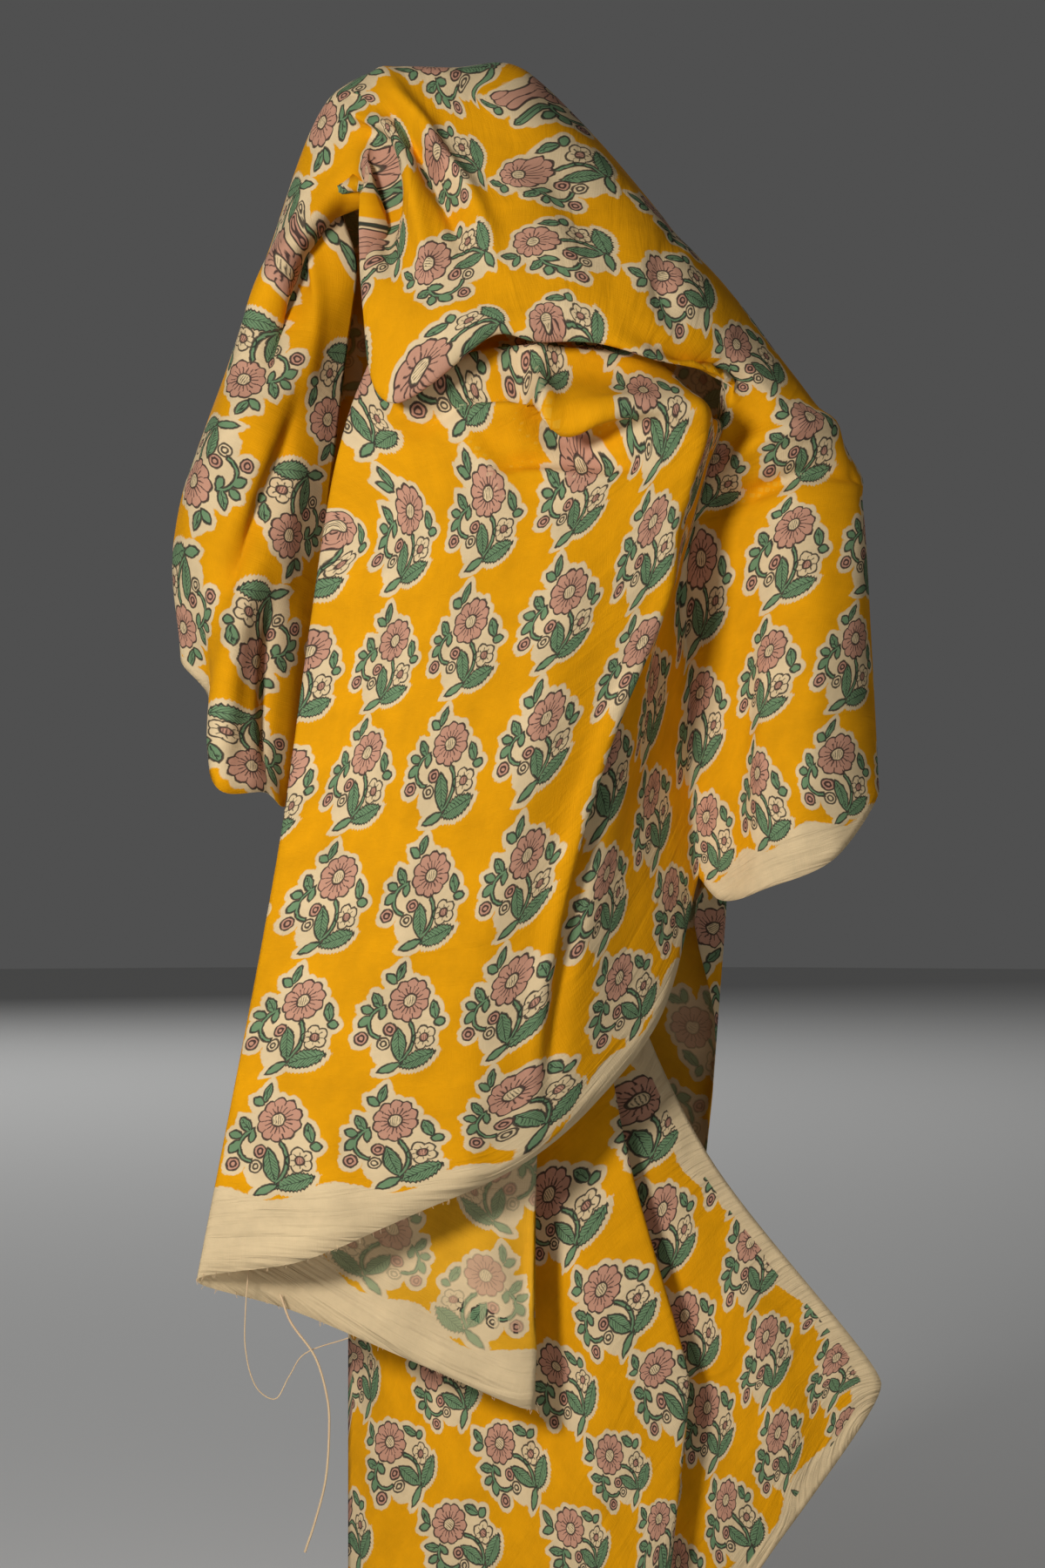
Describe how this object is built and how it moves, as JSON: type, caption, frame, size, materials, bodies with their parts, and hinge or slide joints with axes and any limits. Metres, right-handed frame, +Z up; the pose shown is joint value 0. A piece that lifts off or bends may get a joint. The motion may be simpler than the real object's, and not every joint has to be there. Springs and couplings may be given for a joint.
{
  "type": "draped block print cotton fabric",
  "caption": "Length of mustard cotton cloth hung in a loose bunch: a hood over the top, a wide fold in front and a longer tail below.",
  "frame": {"origin": "top of the hanging cloth, where something inside it holds it up", "axes": "+Z up, +X to the right as seen from the front, the front looks along -Y"},
  "size_m": [0.415, 0.1958, 0.9034],
  "materials": {
    "cotton_length": "plain woven cotton, mustard ground with a block printed bouquet, matt"
  },
  "bodies": {
    "root": {"cotton_length": "cotton_length"}
  },
  "joints": []
}
